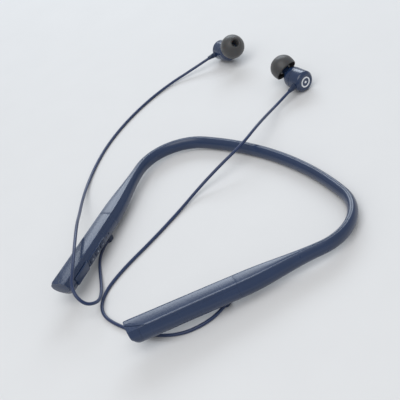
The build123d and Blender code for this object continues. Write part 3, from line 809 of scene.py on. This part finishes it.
def pod(side):
    """The shell, cover and end cap of one pod."""
    cap = pod_outer(side + "_pod_cap", side)
    shell_piece = copy(cap, side + "_pod_shell")
    cover = copy(cap, side + "_pod_cover")

    for piece in (cap, cover):
        boolean(piece, facet_cutter(side), "DIFFERENCE", 6)
        boolean(piece, crease_cutter(side), "DIFFERENCE", 20)
    boolean(cap, cap_front(side, CAP_GAP), "INTERSECT")
    ride(cap, BODY, "shell", side + "_end_cap")

    for piece in (shell_piece, cover):
        boolean(piece, cap_front(side, 0), "DIFFERENCE")
    boolean(cover, slab(side, -COVER_THICKNESS, 3), "INTERSECT")
    ride(cover, BODY, "shell", side + "_top_cover")

    boolean(shell_piece, slab(side, -13, -COVER_THICKNESS - SEAM), "INTERSECT")
    boolean(shell_piece, pod_inside(side), "DIFFERENCE")
    if side == "left":
        openings(shell_piece)
    ride(shell_piece, BODY, "shell", side + "_lower_shell")


for side in SIDES:
    pod(side)
    gland(side)


def key_symbol(name, place):
    """Raised mark on a key: a plus, a minus or a triangle."""
    bar, height = 0.62, 0.1
    flat, tall = rectangle(place, bar, height, 0.09), rectangle(place, height, bar, 0.09)
    triangle = rounded([(place + 0.5, -0.5, 0.12), (place + 0.5, 0.5, 0.12), (place - 0.5, 0, 0.12)], 3)
    outlines = {"plus": [flat, tall], "minus": [flat], "play": [triangle]}[name]
    marks = [prism(name + "_key_symbol", outline, 5.8, 6.03, FACING, symbols) for outline in outlines]
    for extra in marks[1:]:
        boolean(marks[0], extra, "UNION")
    ride(marks[0], name + "_button", "emblem")


def button(name, place):
    """A key with a domed face and its flange behind the trim."""
    key = rectangle(place, KEY_HALF_LENGTH, KEY_HALF_HEIGHT, 0.4)
    rings = []
    for out, inset in ((KEY_BACK, 0), (5.5, 0), (5.75, 0.06), (5.88, 0.2), (5.94, 0.42), (5.97, 0.8)):
        rings.append([(place + nearer(x - place, inset), nearer(y, inset), out) for x, y in key])
    piece = build_mesh(name + "_key", *loft(rings), FACING, key_rubber, 40)
    brim = rectangle(place, KEY_HALF_LENGTH + FLANGE_MARGIN, KEY_HALF_HEIGHT + FLANGE_MARGIN, 0.3)
    boolean(piece, prism("flange", brim, KEY_BACK, 4.15, FACING, key_rubber), "UNION", 40)
    ride(piece, name + "_button", "black_plastic", name + "_button")


for name, place in BUTTON_PLACES.items():
    button(name, place)
    key_symbol(name, place)


def button_frame():
    """Trim round the three keys."""
    outline = strip(TRIM_LOW, TRIM_HIGH, TRIM_HALF_HEIGHT, 0.02)
    piece = prism("key_trim", outline, TRIM_BACK, TRIM_FACE, FACING)
    for place in BUTTON_PLACES.values():
        hole = rectangle(place, KEY_HALF_LENGTH + HOLE_MARGIN, KEY_HALF_HEIGHT + HOLE_MARGIN, 0.4)
        boolean(piece, prism("cutter", hole, 4, 6, FACING), "DIFFERENCE")
    ride(piece, BODY, "black_plastic", "button_frame")


button_frame()


def port_cover():
    """Soft cover over the charging port: a flap with a finger notch, its plug and its knuckle."""
    start, half = PORT_PLACE - 5.4, COVER_HALF_HEIGHT
    corners = [(start, -half, 1.0), (PORT_HINGE, -half, 0), (PORT_HINGE, half, 0), (start, half, 1.0)]
    piece = prism("port_flap", rounded(corners, 6), PORT_FACE + 0.5, PORT_COVER_FACE, FACING, silicone, 0.16)
    plug = strip(PORT_PLACE - 3.7, PORT_PLACE + 3.5, 1.0, 0.8)
    boolean(piece, prism("plug", plug, PORT_FACE - 0.7, PORT_FACE + 0.6, FACING, silicone), "UNION")
    knuckle = circle(PORT_HINGE, PORT_COVER_FACE - HINGE_RADIUS, HINGE_RADIUS, 32)
    roll = prism("knuckle", knuckle, CONTROL_Z - half, CONTROL_Z + half, ARMS["left"], silicone, 0.1)
    boolean(piece, roll, "UNION")
    notch = strip(start - 0.6, start + 0.35, 0.7, 0.3)
    boolean(piece, prism("cutter", notch, PORT_COVER_FACE - 0.35, OUTSIDE, FACING), "DIFFERENCE")
    ride(piece, "port_cover", "silicone", "port_cover")


port_cover()


# Earbuds.


def boot_matrix(side):
    """Frame of a boot: +X out along its axis from the housing's own axis."""
    sideways = -1 if side == "left" else 1
    direction = Vector((-math.sin(BOOT_LEAN), sideways * math.cos(BOOT_LEAN), 0))
    across = Vector((0, 0, 1)).cross(direction)
    turn = Matrix((direction, across, Vector((0, 0, 1)))).transposed().to_4x4()
    return BUDS[side] @ Matrix.Translation((BOOT_PLACE, 0, 0)) @ turn


def turned(name, profile, matrix, material, sharp=30, segments=96):
    """A turned piece about the +X axis of a frame."""
    return build_mesh(name, *revolve(profile, segments), matrix, material, sharp)


def rear_housing(side):
    """Back shell of an earbud: a chamfered cup with a recessed end and a socket for the boot."""
    inner = BUD_RADIUS - BUD_WALL
    outline = rounded(
        [
            (BUD_BACK + END_RECESS, 0.0, 0),
            (BUD_BACK + END_RECESS, 3.4, 0),
            (BUD_BACK, 3.5, 0.1),
            (BUD_BACK, BUD_RADIUS - 1.3, 0.2),
            (BUD_BACK + 1.3, BUD_RADIUS, 0.5),
            (BUD_SPLIT - 1.2, BUD_RADIUS, 0),
            (BUD_SPLIT - 0.2, BUD_RADIUS, 0),
            (BUD_SPLIT - BUD_SEAM, BUD_RADIUS - 0.2, 0),
            (BUD_SPLIT - BUD_SEAM, inner, 0),
            (BUD_BACK + 1.3, inner, 0.3),
            (BUD_BACK + 1.3, 0.0, 0),
        ],
        5,
    )
    piece = turned(side + "_bud_back", outline, BUDS[side], bud_shell)
    socket = [(4.5, 0), (4.5, 1.25), (5.85, 1.25), (5.85, 1.68), (8, 1.68), (8, 0)]
    boolean(piece, turned("cutter", socket, boot_matrix(side), bud_shell, 35, 48), "DIFFERENCE", 30)
    ride(piece, BODY, "bud_shell", side + "_bud_rear_housing")


def front_housing(side):
    """Front shell of an earbud: a rounded shoulder and the slanted nozzle, bored through."""
    inner = BUD_RADIUS - BUD_WALL
    outline = rounded(
        [
            (BUD_SPLIT + BUD_SEAM, 0, 0),
            (BUD_SPLIT + BUD_SEAM, BUD_RADIUS - 0.2, 0),
            (BUD_SPLIT + 0.2, BUD_RADIUS, 0),
            (0.2, BUD_RADIUS, 0.8),
            (2.1, 5.1, 1.0),
            (3.3, 3.6, 0.5),
            (3.3, 0.0, 0),
        ],
        6,
    )
    piece = turned(side + "_bud_front", outline, BUDS[side], bud_shell)
    root = [(0.5, 0, 0), (0.5, 2.4, 0), (7.2, 2.4, 0)]
    lip = [(7.6, 2.45, 0.1), (8.0, 2.45, 0.1), (NOZZLE_END, 2.3, 0.2), (NOZZLE_END, 0, 0)]
    tube = turned("tube", rounded(root + lip, 3), NOZZLES[side], bud_shell, 35, 64)
    boolean(piece, tube, "UNION", 30)
    inside = [(BUD_SPLIT - 1, 0), (BUD_SPLIT - 1, inner), (-0.9, inner), (1.2, 2.4), (1.2, 0)]
    boolean(piece, turned("cutter", inside, BUDS[side], bud_shell, 35, 64), "DIFFERENCE", 30)
    bore = [(0.5, 0), (0.5, 1.6), (NOZZLE_END + 1, 1.6), (NOZZLE_END + 1, 0)]
    boolean(piece, turned("cutter", bore, NOZZLES[side], bud_shell, 35, 48), "DIFFERENCE", 30)
    ride(piece, BODY, "bud_shell", side + "_bud_front_housing")


def end_emblem(side):
    """Plain ring and dot printed in the end recess."""
    inner, outer, low = 2.3, 3.1, BUD_BACK + END_RECESS - 0.01
    ring = rounded([(BUD_BACK, inner, 0.12), (BUD_BACK, outer, 0.12), (low, outer, 0), (low, inner, 0)], 4)
    piece = turned(side + "_end_ring", ring, BUDS[side], emblem)
    dot = rounded([(BUD_BACK, 0, 0), (BUD_BACK, 0.7, 0.15), (low, 0.7, 0), (low, 0, 0)], 4)
    centre = turned(side + "_end_dot", dot, BUDS[side], emblem, 30, 48)
    ride(piece, BODY, "emblem", side + "_bud_end_emblem")
    ride(centre, BODY, "emblem", side + "_bud_end_emblem")


def boot(side):
    """Strain relief on the earbud, tapered and grooved."""
    corners = [(4.95, 0, 0), (4.95, 1.2, 0), (5.9, 1.2, 0), (5.9, 1.6, 0.05), (6.9, 1.6, 0.1)]
    for index in range(3):
        place, radius = 7.05 + 0.75 * index, 1.52 - 0.12 * index
        groove = [(0, radius - 0.22), (0.25, radius - 0.22), (0.35, radius), (0.65, radius - 0.04)]
        corners += [(place + along, out, 0.08) for along, out in groove]
    corners += [(9.6, 1.18, 0.2), (BOOT_END, 1.1, 0.25), (BOOT_END, 0, 0)]
    name = side + "_bud_strain_relief"
    piece = turned(name, rounded(corners, 3), boot_matrix(side), soft_navy, 40, 48)
    ride(piece, BODY, "silicone", side + "_bud_boot")


def ear_tip(side):
    """Silicone tip: a rolled rim, a soft dome and a stem that grips the nozzle."""
    nose = TIP_START + TIP_LENGTH
    rim, widest = TIP_START + 0.2, TIP_START + 3.3
    stem = TIP_START + 1.25
    outline = [(rim + 0.05, 6.42)]

    def curve(first, second, end, steps):
        outline.extend(bezier(outline[-1], first, second, end, steps))

    curve((rim - 0.15, 6.75), (rim + 0.4, 6.85), (rim + 0.9, 6.92), 5)
    curve((rim + 1.6, 7.06), (widest - 0.8, 7.1), (widest, 7.1), 6)
    curve((widest + 2.2, 7.1), (nose - 2.2, 6.2), (nose - 0.9, 4.6), 14)
    curve((nose - 0.3, 3.85), (nose, 3.35), (nose, 2.85), 6)
    curve((nose, 2.4), (nose - 0.3, 2.2), (nose - 0.8, 2.2), 5)
    outline += [(NOZZLE_END + 0.12, 2.2), (NOZZLE_END + 0.12, 2.5), (stem, 2.5)]
    curve((stem - 0.3, 2.55), (stem - 0.3, 3.25), (stem + 0.05, 3.4), 4)
    curve((TIP_START + 3, 3.45), (nose - 4.4, 3.5), (nose - 3.0, 4.1), 6)
    curve((nose - 2.6, 4.5), (nose - 3.4, 5.6), (widest + 1.6, 6.2), 6)
    curve((widest, 6.5), (rim + 1.2, 6.4), (rim + 0.2, 6.32), 6)
    piece = turned(side + "_tip_dome", outline, NOZZLES[side], ear_silicone, 50)
    ride(piece, side + "_ear_tip", "ear_tip", side + "_bud_ear_tip")


for side in SIDES:
    rear_housing(side)
    front_housing(side)
    end_emblem(side)
    boot(side)
    ear_tip(side)


# The CAD nodes that stay take a procedural look for their material slot.
SLOTS = {entry["node"]: entry["material_slot"] for entry in frame["record"]["subparts"]}
for node_name, node in frame["nodes"].items():
    look = LOOKS.get(SLOTS.get(node_name), black_plastic)
    for material_slot in node.material_slots:
        material_slot.material = look


# Floor, light and backdrop.
FLOOR_REACH = 3.0
floor_mesh = bpy.data.meshes.new("floor")
floor_corners = [(x * FLOOR_REACH, y * FLOOR_REACH, 0) for x, y in ((-1, -1), (1, -1), (1, 1), (-1, 1))]
floor_mesh.from_pydata(floor_corners, [], [(0, 1, 2, 3)])
floor = bpy.data.objects.new("floor", floor_mesh)
bpy.context.scene.collection.objects.link(floor)
floor_look = Shader("floor_paper")
paper = floor_look.noise(40, 3)
floor_look.link(floor_look.ramp(paper, (0.3, 0.675), (0.7, 0.685)), "Base Color")
floor_look.link(floor_look.ramp(paper, (0.3, 0.85), (0.7, 0.9)), "Roughness")
floor_look.set(Specular_IOR_Level=0.1)
floor_mesh.materials.append(floor_look.material)


def softbox(name, azimuth, elevation, distance, size, power, colour=(1, 1, 1)):
    """A soft rectangular light that faces the object."""
    light = bpy.data.lights.new(name, "AREA")
    light.shape = "RECTANGLE"
    light.size, light.size_y = size
    light.energy = power
    light.color = colour
    lamp = bpy.data.objects.new(name, light)
    direction = direction_to(math.radians(azimuth), math.radians(elevation))
    lamp.location = direction * distance
    lamp.rotation_mode = "QUATERNION"
    lamp.rotation_quaternion = (-direction).to_track_quat("-Z", "Y")
    bpy.context.scene.collection.objects.link(lamp)


softbox("back_softbox", 223, 32, 1.1, (0.9, 0.42), 6.0, (0.84, 0.92, 1.0))
softbox("front_softbox", 35, 66, 1.1, (1.0, 1.0), 7.0)

world = bpy.data.worlds.new("studio")
world.use_nodes = True
world.node_tree.nodes["Background"].inputs["Color"].default_value = (0.80, 0.82, 0.85, 1)
world.node_tree.nodes["Background"].inputs["Strength"].default_value = 0.62
bpy.context.scene.world = world
bpy.context.scene.view_settings.view_transform = "Standard"
